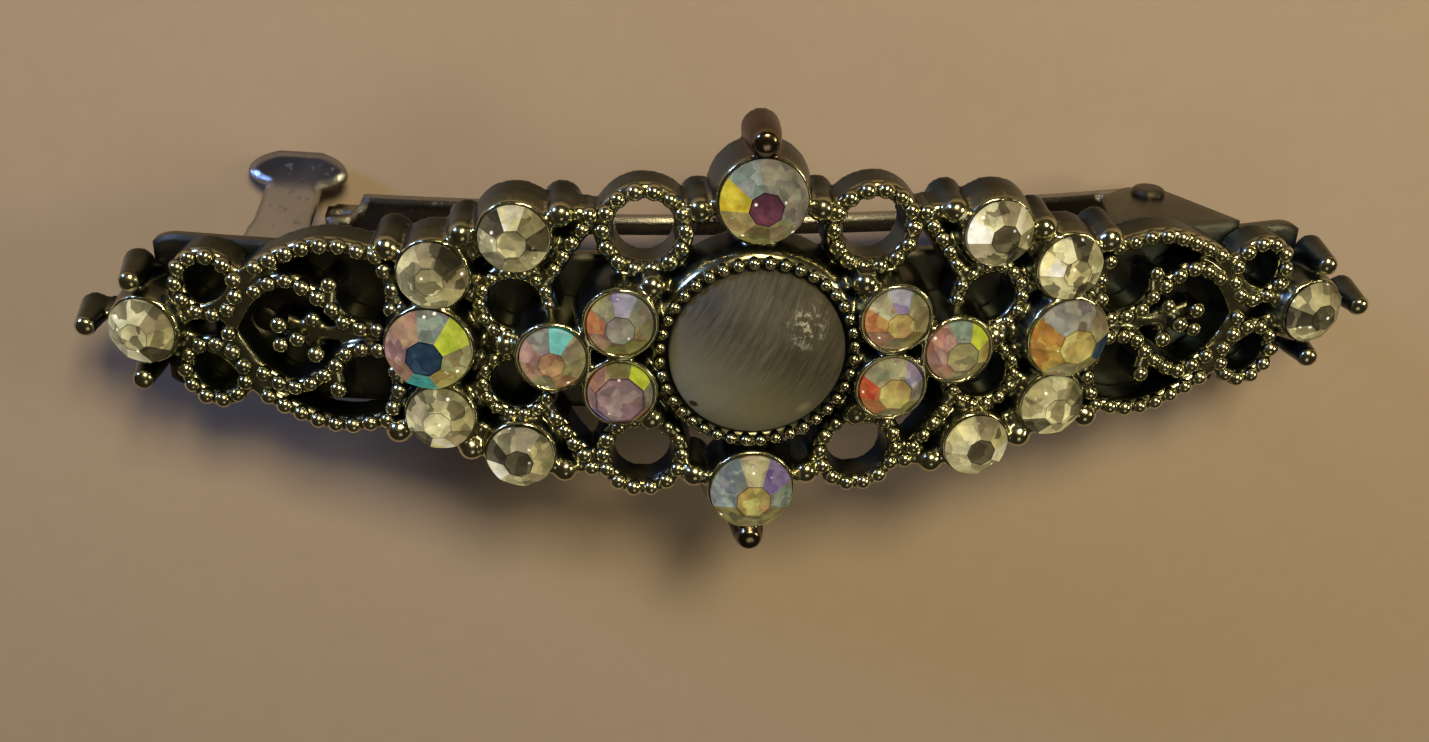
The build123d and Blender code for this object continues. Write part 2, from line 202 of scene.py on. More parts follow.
# ---------------------------------------------------------------- node helpers
class Nodes:
    """Short hand for building a material's node tree."""

    def __init__(self, name):
        self.material = bpy.data.materials.new(name)
        self.material.use_nodes = True
        self.tree = self.material.node_tree
        self.shader = self.tree.nodes["Principled BSDF"]
        where = self.add("ShaderNodeTexCoord")
        self.coords, self.normals = where.outputs["Object"], where.outputs["Normal"]

    def add(self, kind, **settings):
        node = self.tree.nodes.new(kind)
        for key, value in settings.items():
            setattr(node, key, value)
        return node

    def put(self, socket, value):
        if isinstance(value, bpy.types.NodeSocket):
            self.tree.links.new(value, socket)
        elif isinstance(value, (tuple, list)) and len(value) == 3 and socket.type == "RGBA":
            socket.default_value = (*value, 1)
        else:
            socket.default_value = value

    def math(self, operation, a, b=0.0, clamp=False):
        node = self.add("ShaderNodeMath", operation=operation, use_clamp=clamp)
        self.put(node.inputs[0], a)
        self.put(node.inputs[1], b)
        return node.outputs[0]

    def length(self, a, b):
        squares = self.math("ADD", self.math("MULTIPLY", a, a), self.math("MULTIPLY", b, b))
        return self.math("SQRT", squares)

    def ramp(self, value, low, high, to_low=0.0, to_high=1.0):
        node = self.add("ShaderNodeMapRange")
        for key, setting in (("Value", value), ("From Min", low), ("From Max", high),
                             ("To Min", to_low), ("To Max", to_high)):
            self.put(node.inputs[key], setting)
        return node.outputs[0]

    def mix(self, share, a, b, blend="MIX"):
        node = self.add("ShaderNodeMix", data_type="RGBA", blend_type=blend)
        self.put(node.inputs[0], share)
        self.put(node.inputs[6], a)
        self.put(node.inputs[7], b)
        return node.outputs[2]

    def scaled(self, scale, turn=(0, 0, 0)):
        """Object coordinates turned first and then divided by scale."""
        node = self.add("ShaderNodeMapping", vector_type="TEXTURE")
        node.inputs["Rotation"].default_value = turn
        node.inputs["Scale"].default_value = scale
        self.put(node.inputs["Vector"], self.coords)
        return node.outputs[0]

    def noise(self, scale, detail=4.0, vector=None, rough=0.55):
        node = self.add("ShaderNodeTexNoise")
        self.put(node.inputs["Vector"], vector or self.coords)
        node.inputs["Scale"].default_value = scale
        node.inputs["Detail"].default_value = detail
        node.inputs["Roughness"].default_value = rough
        return node.outputs["Fac"]

    def bump(self, height, distance, strength=1.0, over=None):
        node = self.add("ShaderNodeBump")
        if over:
            self.put(node.inputs["Normal"], over)
        node.inputs["Distance"].default_value = distance
        self.put(node.inputs["Strength"], strength)
        self.put(node.inputs["Height"], height)
        return node.outputs[0]

    def axis(self, letter):
        node = self.add("ShaderNodeSeparateXYZ")
        self.put(node.inputs[0], self.coords)
        return node.outputs["XYZ".index(letter)]

    def on_arch(self):
        """Metres above the reference arch, how squarely the surface faces out of it, and how far to -X."""
        up = self.math("SUBTRACT", self.axis("Z"), (CREST - ARCH_RADIUS) * MM)
        x = self.axis("X")
        reach = self.length(x, up)
        normal = self.add("ShaderNodeSeparateXYZ")
        self.put(normal.inputs[0], self.normals)
        lean = self.math("MULTIPLY", normal.outputs["X"], x)
        lean = self.math("ADD", lean, self.math("MULTIPLY", normal.outputs["Z"], up))
        leftward = self.math("MULTIPLY", normal.outputs["X"], -1.0)
        return self.math("SUBTRACT", reach, ARCH_RADIUS * MM), self.math("DIVIDE", lean, reach), leftward

    def near(self, along, across, inner, outer):
        """1 near a plan place in mm, fading to 0 at the outer radius."""
        dx = self.math("SUBTRACT", self.axis("X"), along * MM)
        dy = self.math("SUBTRACT", self.axis("Y"), across * MM)
        return self.ramp(self.length(dx, dy), inner * MM, outer * MM, 1.0, 0.0)

    def set(self, **values):
        for key, value in values.items():
            self.put(self.shader.inputs[key.replace("_", " ")], value)
        return self.material


# ---------------------------------------------------------------- materials
OLIVE_TARNISH = (0.013, 0.017, 0.011)
# Painted blue reflection of the cool lamp, for surfaces facing -X.
PAINTED_BLUE_REFLECTION = (0.05, 0.095, 0.17)
# Painted reddish-brown reflection for the pole posts.
PAINTED_RUDDY_REFLECTION = (0.1, 0.045, 0.026)
VERDIGRIS = (0.13, 0.19, 0.1)
PLATING_SPOT = (0.16, 0.13, 0.09)
SATIN_PAINTED_SHADE, SATIN_PAINTED_LIGHT = (0.04, 0.035, 0.021), (0.5, 0.465, 0.29)
CHIP = (0.07, 0.03, 0.012)
SCRATCH_GLINT = (0.62, 0.62, 0.52)


def cast_metal(name, bright):
    """Antiqued silver: bright on the worn high spots, dark and dull with patina in the recesses. The sides
    are darker, partly from less wear and partly from painted shade; faces turned to -X carry a painted blue
    reflection, and the pole tips a painted ruddy reflection.
    """
    n = Nodes(name)
    blotch = n.noise(420, 5)
    fine = n.noise(2600, 3)
    height, facing, leftward = n.on_arch()
    high_spot = n.ramp(height, -3.1 * MM, -1.5 * MM)
    # The facing ramp darkens the sides: partly real wear, partly painted shade.
    rubbed_and_side_shade = n.ramp(facing, 0.2, 0.66, 0.08, 1.0)
    hollow = n.add("ShaderNodeAmbientOcclusion", samples=8)
    hollow.inputs["Distance"].default_value = 2.2 * MM
    openness = n.ramp(hollow.outputs["AO"], 0.22, 0.7)
    polish_and_side_shade = n.math("MULTIPLY", n.math("MULTIPLY", high_spot, rubbed_and_side_shade), openness, clamp=True)
    dull = (bright[0] * 0.72, bright[1] * 0.74, bright[2] * 0.68)
    worn = n.mix(n.ramp(blotch, 0.35, 0.68), bright, dull)
    # Olive tarnish, turning into a painted blue reflection on faces towards -X.
    tarnish_and_blue_reflection = n.mix(n.ramp(leftward, 0.1, 0.9), OLIVE_TARNISH, PAINTED_BLUE_REFLECTION)
    colour = n.mix(polish_and_side_shade, tarnish_and_blue_reflection, worn)
    # Painted reddish-brown reflection over the two pole posts.
    ruddy_reflection = n.math("ADD", n.near(0, POLE, 1.3, 1.9), n.near(0, -POLE, 1.3, 1.9), clamp=True)
    colour = n.mix(n.math("MULTIPLY", ruddy_reflection, 0.75), colour, PAINTED_RUDDY_REFLECTION)
    green = n.math("MULTIPLY", n.near(-36.5, -4.0, 1.5, 6.5), n.ramp(n.noise(700, 4), 0.42, 0.62))
    colour = n.mix(n.math("MULTIPLY", green, 0.55), colour, VERDIGRIS)
    rough = n.math("ADD", n.ramp(polish_and_side_shade, 0.0, 1.0, 0.34, 0.17), n.ramp(fine, 0.3, 0.7, -0.03, 0.07))
    grain = n.math("ADD", n.math("MULTIPLY", blotch, 0.8), n.math("MULTIPLY", fine, 0.2))
    normal = n.bump(grain, 0.05 * MM, 0.35)
    lacquer = n.ramp(polish_and_side_shade, 0.0, 0.6, 0.12, 0.35)
    n.set(Base_Color=colour, Metallic=1.0, Roughness=rough, Normal=normal)
    return n.set(Coat_Weight=lacquer, Coat_Roughness=0.1, Coat_Normal=normal)


def sheet_steel(name, tint, rough_low=0.16, brush=(900, 60, 900)):
    """Nickel-plated sheet with faint brushing, dull spots and smears."""
    n = Nodes(name)
    brushed = n.noise(1.0, 3, n.scaled(tuple(1 / v for v in brush)))
    smear = n.noise(160, 4)
    spots = n.ramp(n.noise(1500, 2), 0.62, 0.7)
    colour = n.mix(n.ramp(smear, 0.35, 0.7), tint, tuple(v * 0.7 for v in tint))
    colour = n.mix(n.math("MULTIPLY", spots, 0.35), colour, PLATING_SPOT)
    smeared = n.ramp(smear, 0.3, 0.7, rough_low, rough_low + 0.14)
    rough = n.math("ADD", smeared, n.math("MULTIPLY", spots, 0.12))
    rolled = n.add("ShaderNodeBevel", samples=6)
    rolled.inputs["Radius"].default_value = 0.9 * MM
    normal = n.bump(brushed, 0.01 * MM, 0.3, rolled.outputs[0])
    return n.set(Base_Color=colour, Metallic=1.0, Roughness=rough, Normal=normal)


def facet_glass(name, foil_reflection_share, cell_scale, rainbow, painted_glint_threshold, dim, lit):
    """Foil-backed glass: the mesh holds each facet's colour, broken up by cells of painted reflection from
    the foil behind; painted light, painted glints and a painted glow are added.
    """
    n = Nodes(name)
    facet = n.add("ShaderNodeAttribute", attribute_name="facet").outputs["Color"]
    place = n.add("ShaderNodeSeparateXYZ")
    n.put(place.inputs[0], n.add("ShaderNodeAttribute", attribute_name="place").outputs["Vector"])
    wander = n.add("ShaderNodeVectorMath", operation="MULTIPLY_ADD")
    warp = n.add("ShaderNodeTexNoise")
    warp.inputs["Scale"].default_value = 900
    n.put(warp.inputs["Vector"], n.coords)
    n.put(wander.inputs[0], warp.outputs["Color"])
    wander.inputs[1].default_value = (0.9 * MM, 0.9 * MM, 0.9 * MM)
    n.put(wander.inputs[2], n.coords)
    # Cells of painted reflection from the foil break up each facet's colour.
    cells = n.add("ShaderNodeTexVoronoi", feature="F1")
    n.put(cells.inputs["Vector"], wander.outputs[0])
    cells.inputs["Scale"].default_value = cell_scale
    grey = n.add("ShaderNodeRGBToBW")
    n.put(grey.inputs[0], cells.outputs["Color"])
    painted_foil_reflection = n.mix(rainbow, n.ramp(grey.outputs[0], 0.25, 0.75), cells.outputs["Color"])
    colour = n.mix(foil_reflection_share, facet, painted_foil_reflection, "OVERLAY")
    # Painted light: the stone is brighter towards its lower left and dimmer towards its upper right, with a
    # little random variation.
    leftward = n.math("MULTIPLY", place.outputs[0], -0.62)
    downward = n.math("MULTIPLY", place.outputs[1], -0.55)
    low_left_painted_light = n.ramp(n.math("ADD", leftward, downward), -0.7, 0.7, dim, lit)
    lift = n.math("MULTIPLY", low_left_painted_light, n.ramp(n.noise(1100, 3), 0.35, 0.65, 0.75, 1.25))
    bright = n.add("ShaderNodeVectorMath", operation="SCALE")
    n.put(bright.inputs[0], colour)
    n.put(bright.inputs["Scale"], lift)
    colour = bright.outputs[0]
    # Painted glints: small white spots on a few random cells.
    pick = n.add("ShaderNodeTexVoronoi", feature="F1")
    n.put(pick.inputs["Vector"], n.coords)
    pick.inputs["Scale"].default_value = 1500
    chosen = n.add("ShaderNodeSeparateXYZ")
    n.put(chosen.inputs[0], pick.outputs["Color"])
    painted_glint_core = n.ramp(pick.outputs["Distance"], 0.24, 0.1)
    painted_glint = n.math("MULTIPLY", painted_glint_core, n.math("GREATER_THAN", chosen.outputs[0], painted_glint_threshold))
    # The glass glows by emission in its own warmed colour, a painted glow that is stronger and whiter on
    # the painted glints.
    painted_glow = n.math("ADD", 0.24, n.math("MULTIPLY", painted_glint, 0.9))
    n.set(Base_Color=colour, Metallic=0.0, Roughness=0.22, Coat_Weight=0.0, Specular_IOR_Level=0.12)
    painted_glow_colour = n.mix(1.0, colour, (1.0, 0.93, 0.76), "MULTIPLY")
    return n.set(Emission_Color=n.mix(painted_glint, painted_glow_colour, (1.0, 0.95, 0.8)), Emission_Strength=painted_glow)


def cats_eye():
    """Grey satin glass: fine slanting fibres under a polished, scuffed dome; painted light brightens its
    lower left, its scratches are painted as bright glints, and it has a faint painted glow.
    """
    n = Nodes("cats_eye_glass")
    slant = n.scaled((0.07, 1.0, 1.0), (0, 0, math.radians(-32)))
    fibres = n.noise(210, 6, slant, 0.7)
    threads = n.noise(900, 3, slant)
    cloud = n.noise(190, 3)
    # Painted light: the dome is lit towards its lower left and shaded towards its upper right.
    low_left_painted_light = n.ramp(n.math("ADD", n.axis("X"), n.math("MULTIPLY", n.axis("Y"), 1.7)), 3.5 * MM, -11 * MM)
    body = n.mix(n.math("POWER", low_left_painted_light, 1.6), SATIN_PAINTED_SHADE, SATIN_PAINTED_LIGHT)
    body = n.mix(n.ramp(fibres, 0.4, 0.66, 0.0, 0.3), body, (0.2, 0.19, 0.14))
    body = n.mix(n.ramp(threads, 0.48, 0.75, 0.0, 0.2), body, (0.3, 0.29, 0.23))
    body = n.mix(n.ramp(cloud, 0.45, 0.7, 0.0, 0.25), body, (0.16, 0.14, 0.1))
    body = n.mix(n.near(-4.3, -3.4, 0.22, 0.34), body, CHIP)
    body = n.mix(n.math("MULTIPLY", n.near(3.1, -3.5, 0.1, 0.7), 0.5), body, (0.45, 0.42, 0.22))
    scuff = n.math("MULTIPLY", n.near(3.1, 2.4, 0.8, 2.6), n.ramp(n.noise(1300, 5, None, 0.7), 0.4, 0.62))
    flakes = n.ramp(n.noise(2100, 4, None, 0.75), 0.52, 0.6)
    # Real scratches in the scuffed patch, painted whitish as bright glints.
    scratch_glint = n.math("MULTIPLY", n.near(3.0, 2.7, 0.4, 1.7), flakes)
    body = n.mix(n.math("MULTIPLY", scratch_glint, 0.75), body, SCRATCH_GLINT)
    rough = n.math("ADD", 0.6, n.math("MULTIPLY", scuff, -0.45))
    pitted = n.math("MULTIPLY", n.noise(1500, 5), scuff)
    bump = n.bump(n.math("ADD", pitted, n.math("MULTIPLY", threads, 0.05)), 0.12 * MM, 0.6)
    n.set(Base_Color=body, Roughness=rough, Coat_Weight=0.0, Normal=bump)
    # A faint painted glow in the body colour.
    return n.set(Specular_IOR_Level=0.3, Emission_Color=body, Emission_Strength=0.06)


CAST = cast_metal("cast_silver", (0.74, 0.7, 0.42))
# A brighter copy of the cast silver for the beads: a painted highlight on them.
LIT_BEAD_SILVER = cast_metal("bead_silver_painted_highlight", (0.94, 0.89, 0.54))
NICKEL = sheet_steel("nickel_plate", (0.42, 0.41, 0.36))
DARK_STEEL = sheet_steel("dull_steel", (0.11, 0.1, 0.075), 0.3)
# The base plate's dark tint is painted shade for where it sits behind the casting.
SHADED_PLATE_STEEL = sheet_steel("plate_steel_painted_shade", (0.15, 0.145, 0.105), 0.3)
TAB_STEEL = sheet_steel("tab_steel", (0.56, 0.56, 0.53), 0.16)
SPRING = sheet_steel("spring_strip", (0.52, 0.50, 0.42), 0.2)
CLEAR_GLASS = facet_glass("clear_foiled_glass", 0.55, 1000, 0.0, 0.8, 0.5, 1.5)
AB_GLASS = facet_glass("iridescent_foiled_glass", 0.35, 1250, 0.3, 0.88, 0.45, 0.9)


# ---------------------------------------------------------------- the casting
# Plan layout, (along, across) from the middle; each is mirrored into the four quarters.
LEAF = [(25.4, 6.1), (26.7, 6.4), (28.0, 6.65), (29.4, 6.6), (30.7, 6.25), (32.0, 5.7), (33.2, 5.1),
        (34.3, 4.3), (35.2, 3.2), (36.0, 2.1), (37.2, 1.4), (38.4, 1.1)]
SCROLL = [(25.6, 0.75), (26.9, 0.8), (28.1, 1.3), (28.9, 2.4), (30.2, 3.3), (31.1, 3.9), (32.3, 3.9),
          (33.5, 3.3), (34.6, 2.4), (35.4, 1.2), (36.0, 0.2)]
BAY = [(24.9, 5.1), (24.4, 3.7), (24.6, 2.3)]
DIAGONAL = [(14.3, 4.6), (13.4, 5.9), (12.7, 7.1), (11.8, 8.3), (11.2, 9.4)]
SPUR = [(28.65, 3.9), (28.9, 2.6)]
OPEN_STRANDS = [LEAF, SCROLL, BAY, DIAGONAL]
SMALL_RING = 2.35
RINGS = [((7.65, 8.35), 2.75), ((16.3, 2.95), SMALL_RING), ((37.3, 3.2), 2.15)]
GRANULES = [(24.6, 6.8), (19.6, 7.95), (13.1, 9.5), (7.1, 4.9), (4.0, 9.9)]
TREFOIL = [(30.0, 1.3), (32.4, 0.75)]
END_STONE = 41.7
POSTS = [(END_STONE + 4.0, 0.0), (END_STONE + 0.3, 3.65)]
COLLAR_BEADS, COLLAR_BEAD_RADIUS, COLLAR_BEAD_LEVEL = 6.6, 0.42, 0.08
COLLAR_BEAD_FOOT = -0.6
CUP_CLEARANCE = 2.75
STRAND_BEAD_LEVEL, STRAND_BEAD_FOOT = -1.28, -1.7
RING_PITCH, SMALL_RING_PITCH, STRAND_PITCH = 1.22, 1.02, 1.2
LONE_BEAD_RADIUS = 0.62
BEAD_OVERLAP = 0.78
BEAD_VARIATION = 0.05
PATH_PITCH = 0.6
CAST_VOXEL, QUICK_CAST_VOXEL = 0.17, 0.3
CLEAR_RADIUS, CLUSTER_RADIUS, LARGE_RADIUS = 2.3, 2.19, 2.87
CLUSTER_GIRDLE, CLEAR_GIRDLE = 0.7, -0.2
CUP_WALL = {CLEAR_RADIUS: 0.55, CLUSTER_RADIUS: 0.62, LARGE_RADIUS: 0.5}
OUTER_PAIR, INNER_PAIR, CLUSTER_PAIR = (21.5, 5.27), (16.1, 8.05), (9.2, 2.54)
SIDE_STONE, TOP_STONE, CLUSTER_TIP = (22.0, 0), (0, 10.8), (13.65, 0)
WEBS = [
    [CLUSTER_PAIR, CLUSTER_TIP], [CLUSTER_PAIR, (6.8, 1.8)], [(9.2, 0), CLUSTER_PAIR],
    [OUTER_PAIR, INNER_PAIR], [OUTER_PAIR, SIDE_STONE], [INNER_PAIR, (13.1, 9.5)],
    [(7.1, 4.9), (5.2, 4.2)], [(4.0, 9.9), TOP_STONE], [(24.6, 6.8), OUTER_PAIR],
    [(38.4, 1.1), (END_STONE, 0)], [(13.1, 9.5), (10.6, 9.2)], [INNER_PAIR, (16.2, 5.4)],
    [(19.6, 7.95), (18.8, 6.8)], [(7.1, 4.9), (7.2, 5.7)], [(0, 7.2), TOP_STONE],
    [(19.0, 3.4), (20.4, 4.4)], [CLUSTER_PAIR, (9.4, 5.2)], [CLUSTER_TIP, (15.0, 1.2)],
]
STEM = [(25.0, 0), (27.0, 0.0), (29.0, 0.0), (31.2, 0.2)]
SPRIG = (30.6, 0.1)
STEM_TOP, BRIDGE_TOP, TAIL_TOP = -1.6, -1.5, -1.9
BALL = 17.0
BRIDGE = (15.2, BALL, 19.2)
TAIL, CROSSBAR = (42.0, 44.0, 45.7), (0, 2.0, 3.65)
POLE_STEM = (11.0, 13.0, POLE)

# Turned profiles, (radius, height) from top to foot.
GRANULE_PROFILE = [
    (0, 0.95), (0.36, 0.88), (0.67, 0.67), (0.88, 0.36), (0.95, 0), (1.02, -1.0), (1.3, -3.0), (0, -3.0),
]
POST_PROFILE = [
    (0, 0.5), (0.34, 0.45), (0.64, 0.28), (0.78, 0.0), (0.74, -0.4), (0.86, -1.2), (1.1, BACK), (0, BACK),
]
POLE_PROFILE = [
    (0, 0.36), (0.5, 0.33), (0.78, 0.16), (0.98, -0.2), (1.1, -0.8), (1.22, -1.8), (1.32, BACK), (0, BACK),
]
COLLAR_PROFILE = [
    (0, -1.1), (5.6, -1.1), (6.02, -0.9), (6.04, -0.6), (6.12, -0.5), (6.3, -0.3), (6.6, -0.15),
    (6.95, -0.25), (7.25, -0.6), (7.5, -1.3), (7.8, BACK), (0, BACK),
]
BALL_LEVEL = -1.4
BALL_PROFILE = [
    (0, 0.9), (0.36, 0.83), (0.66, 0.62), (0.86, 0.3), (0.9, 0),
    (1.1, BACK - BALL_LEVEL), (0, BACK - BALL_LEVEL),
]
RAISED_GRANULE, GRANULE_LEVEL = 7.1, BACK + 2.15


def stone_sites():
    """(kind, name, along, across, radius, girdle height) of every rhinestone, as in the CAD."""
    sites = []
    for x, side in ((-1, "left"), (1, "right")):
        sites.append(("clear", side + "_end", x * END_STONE, 0, CLEAR_RADIUS, 0.0))
        sites.append(("ab", side + "_large", x * SIDE_STONE[0], 0, LARGE_RADIUS, 0.0))
        tip = x * CLUSTER_TIP[0]
        sites.append(("ab", side + "_cluster_outer", tip, 0, CLUSTER_RADIUS, CLUSTER_GIRDLE))
        for y, row in ((1, "upper"), (-1, "lower")):
            for place, (along, across) in (("outer", OUTER_PAIR), ("inner", INNER_PAIR)):
                name = f"{side}_{row}_{place}"
                sites.append(("clear", name, x * along, y * across, CLEAR_RADIUS, CLEAR_GIRDLE))
            along, across = CLUSTER_PAIR
            name = f"{side}_cluster_{row}"
            sites.append(("ab", name, x * along, y * across, CLUSTER_RADIUS, CLUSTER_GIRDLE))
    for name, y in (("top", 1), ("bottom", -1)):
        sites.append(("ab", name, 0, y * TOP_STONE[1], LARGE_RADIUS, 0.0))
    return sites


def mirrored(path, i, j):
    return [Vector((i * p.x, j * p.y)) for p in path]


def cup_profile(radius, wall_thickness, foot, open_rim):
    """Cup round a stone, from its girdle: a rolled rim where it shows, or a lip tucked under the stone."""
    floor = -0.75 * radius
    profile = [(0, floor), (0.35 * radius, floor)]
    if open_rim:
        rim = [(0.03, -0.2), (0.1, 0.05), (0.22, 0.12), (0.36, 0.0)]
    else:
        rim = [(-0.25, -0.45), (-0.1, -0.24), (0.08, -0.2), (0.2, -0.34)]
    rim += [(wall_thickness, -1.9), (wall_thickness * 1.25, foot)]
    return profile + [(radius + out, height) for out, height in rim] + [(0, foot)]


def collar_beads():
    """(along, across) of the beads round the cabochon, except where a cluster cup takes their place."""
    spots = [Vector(p) for p in circle_path((0, 0), COLLAR_BEADS, 4, 364, 40)]
    cups = [Vector((i * CLUSTER_PAIR[0], j * CLUSTER_PAIR[1])) for i, j in QUARTERS]
    return [spot for spot in spots if all((spot - cup).length > CUP_CLEARANCE for cup in cups)]


def bead_positions():
    """Every bead's (along, across, radius), with none on top of another."""
    beads = []

    def put(spots, radius):
        for spot in spots:
            for i, j in QUARTERS:
                place = Vector((i * spot[0], j * spot[1]))
                clear = [(place - spot).length > BEAD_OVERLAP * (radius + size) for spot, size in beads]
                if all(clear):
                    size = radius * (1 + BEAD_VARIATION * math.sin(7 * place.x + 11 * place.y))
                    beads.append((place, size))

    for centre, radius in RINGS:
        pitch = SMALL_RING_PITCH if radius == SMALL_RING else RING_PITCH
        put(smooth_path(circle_path(centre, radius), pitch, True), 0.5 * pitch)
    for strand in OPEN_STRANDS:
        put(smooth_path(strand, STRAND_PITCH), 0.5 * STRAND_PITCH)
    put([Vector(p) for p in TREFOIL + [(31.2, 0.25), SPUR[0]]], LONE_BEAD_RADIUS)
    return beads


def build_casting():
    body = bmesh.new()
    for kind, name, along, across, radius, girdle in stone_sites():
        wall_thickness = CUP_WALL[radius]
        foot = BACK - girdle
        profile = cup_profile(radius, wall_thickness, foot, radius == CLUSTER_RADIUS)
        lathe(body, arch_matrix(along, across, girdle), profile, 48)
    lathe(body, arch_matrix(0, 0), COLLAR_PROFILE, 96)
    webs = [smooth_path(web, PATH_PITCH) for web in WEBS + OPEN_STRANDS + [SPUR]]
    for i, j in QUARTERS:
        for path in webs:
            wall(body, mirrored(path, i, j), STRAND_TOP, BACK)
        for centre, radius in RINGS:
            ring = smooth_path(circle_path(centre, radius), PATH_PITCH, True)
            wall(body, mirrored(ring, i, j), STRAND_TOP, BACK, closed=True)
        for along, across in GRANULES:
            lift = 0.9 if along == RAISED_GRANULE else 0
            place = arch_matrix(i * along, j * across, GRANULE_LEVEL + lift)
            lathe(body, place, GRANULE_PROFILE, 28)
        for along, across in POSTS:
            upright = Matrix.Translation(arch_matrix(i * along, j * across).translation)
            lathe(body, upright, POST_PROFILE, 28)
    for x in (-1, 1):
        stem = [Vector(p) for p in STEM]
        for j in (-1, 1):
            wall(body, mirrored(stem, x, j), STEM_TOP, BACK)
            for spot in TREFOIL:
                arm = smooth_path([SPRIG, spot], 0.5)
                wall(body, mirrored(arm, x, j), STEM_TOP, BACK)
        wall(body, [Vector((x * a, 0)) for a in BRIDGE], BRIDGE_TOP, BACK, 0.6, 0.9)
        lathe(body, arch_matrix(x * BALL, 0, BALL_LEVEL), BALL_PROFILE, 28)
        wall(body, [Vector((x * a, 0)) for a in TAIL], TAIL_TOP, BACK, 0.5, 0.9)
        for j in (-1, 1):
            wall(body, [Vector((x * TAIL[0], j * b)) for b in CROSSBAR], TAIL_TOP, BACK, 0.5, 0.9)
    for j in (-1, 1):
        lathe(body, arch_matrix(0, j * POLE), POLE_PROFILE, 32)
        wall(body, [Vector((0, j * b)) for b in POLE_STEM], STEM_TOP, BACK, 0.7, 1.1)
    casting = mesh_object("casting_body", body)
    remesh = casting.modifiers.new("cast", "REMESH")
    remesh.mode = "VOXEL"
    remesh.voxel_size = CAST_VOXEL * MM
    soften = casting.modifiers.new("soften", "SMOOTH")
    soften.factor, soften.iterations = 0.5, 3
    thin = casting.modifiers.new("thin", "DECIMATE")
    thin.ratio = 0.5
    apply_modifiers(casting)
    casting.data.materials.append(CAST)

    beads = bmesh.new()
    placed = [(spot, radius, STRAND_BEAD_LEVEL, STRAND_BEAD_FOOT) for spot, radius in bead_positions()]
    for spot in collar_beads():
        placed.append((spot, COLLAR_BEAD_RADIUS, COLLAR_BEAD_LEVEL, COLLAR_BEAD_FOOT))
    dome_angles = [math.radians(degrees) for degrees in range(0, 106, 15)]
    for spot, radius, level, foot in placed:
        stem = [(radius * math.sin(a), radius * math.cos(a)) for a in dome_angles]
        stem += [(radius * 0.9, -0.35 * radius - 0.3), (radius * 1.1, foot), (0, foot)]
        lathe(beads, arch_matrix(spot.x, spot.y, level), stem, 18)
    beading = mesh_object("casting_beads", beads)
    beading.data.materials.append(LIT_BEAD_SILVER)
    return casting, beading


casting, beading = build_casting()
for piece in (casting, beading):
    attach(piece, "base")
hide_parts("filigree_casting")


# ---------------------------------------------------------------- the stones
GIRDLE_FOOT = -0.12
PAVILION_SHARE = 0.7
TABLE_EDGE_SHARE, TABLE_EDGE_TONE, TABLE_EDGE_RISE = 0.92, 0.42, 0.01


def faceted_stone(name, along, across, radius, girdle, table, turn, crown, colours):
    """Brilliant-cut stone; colours run round the crown from +X anticlockwise, then the table."""
    bm = bmesh.new()
    layer = bm.faces.layers.int.new("tone")
    facets = len(colours) - 1
    colours = colours + [tuple(TABLE_EDGE_TONE * c for c in colours[-1])]
    inner = table * radius
    slope = crown / (radius - inner)
    arc_steps = 6

    def point(r, angle, z):
        spot = Vector((r * math.cos(angle), r * math.sin(angle), z)) * MM
        return bm.verts.new(spot)

    corners = [turn + 2 * math.pi * k / facets for k in range(facets)]
    table_corner = inner / math.cos(math.pi / facets)
    table_ring = [point(table_corner, a, crown) for a in corners]
    edge_ring = [point(TABLE_EDGE_SHARE * table_corner, a, crown + TABLE_EDGE_RISE) for a in corners]
    rim = []
    for k in range(facets):
        for step in range(arc_steps):
            angle = corners[k] + 2 * math.pi / facets * step / arc_steps
            off = angle - corners[k] - math.pi / facets
            z = slope * (radius - radius * math.cos(off)) * 0.9
            rim.append(point(radius, angle, z))
    girdle_turns = [corners[0] + 2 * math.pi * k / len(rim) for k in range(len(rim))]
    lower = [point(radius, angle, GIRDLE_FOOT) for angle in girdle_turns]
    for k in range(facets):
        n = (k + 1) % facets
        start = k * arc_steps
        arc = [rim[(start + step) % len(rim)] for step in range(arc_steps + 1)]
        bm.faces.new([table_ring[k], *arc, table_ring[n]])[layer] = k
    for k in range(facets):
        n = (k + 1) % facets
        bm.faces.new([table_ring[k], table_ring[n], edge_ring[n], edge_ring[k]])[layer] = facets + 1
    bm.faces.new(edge_ring)[layer] = facets
    tip = point(0, 0, -PAVILION_SHARE * radius)
    for k in range(len(rim)):
        n = (k + 1) % len(rim)
        bm.faces.new([rim[k], rim[n], lower[n], lower[k]])[layer] = k * facets // len(rim)
        bm.faces.new([lower[k], lower[n], tip])[layer] = facets
    tones = [face[layer] for face in bm.faces]
    places = [vert.co / (radius * MM) for vert in bm.verts]
    bm.transform(arch_matrix(along, across, girdle))
    stone = mesh_object(name, bm, False)
    attribute = stone.data.attributes.new("facet", "FLOAT_COLOR", "FACE")
    for face, tone in enumerate(tones):
        attribute.data[face].color = (*colours[tone], 1)
    local = stone.data.attributes.new("place", "FLOAT_VECTOR", "POINT")
    for vert, spot in enumerate(places):
        local.data[vert].vector = spot
    return stone


